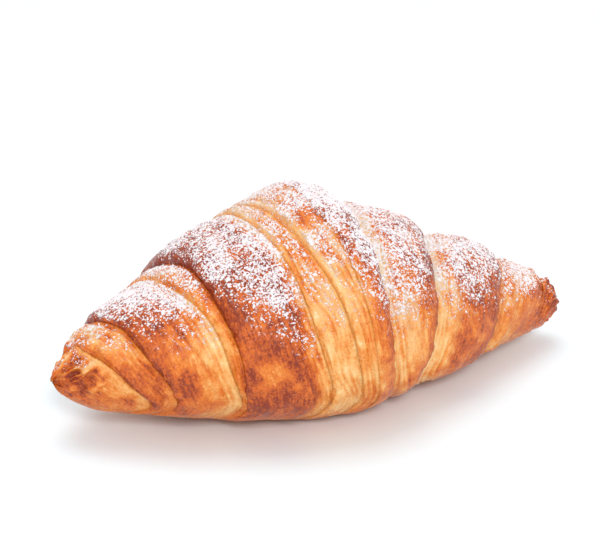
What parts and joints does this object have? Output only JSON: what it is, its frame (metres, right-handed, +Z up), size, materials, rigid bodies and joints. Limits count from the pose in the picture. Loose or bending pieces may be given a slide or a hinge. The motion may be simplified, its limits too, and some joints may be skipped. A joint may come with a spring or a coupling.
{
  "type": "croissant",
  "caption": "Straight butter croissant, a baked spindle of rolled laminated dough with stepped wraps and knobbly tips, lying on its flat foot.",
  "frame": {"origin": "middle of the flat foot, under the middle of the croissant's box", "axes": "+X along the roll to the blunter tip, -Y to the front that the picture shows, +Z up"},
  "size_m": [0.163, 0.082, 0.0624],
  "materials": {
    "crust": "egg-washed golden-brown crust, dusted with powdered sugar on top",
    "sugar": "loose powdered sugar"
  },
  "bodies": {
    "root": {"croissant": "crust"}
  },
  "joints": []
}
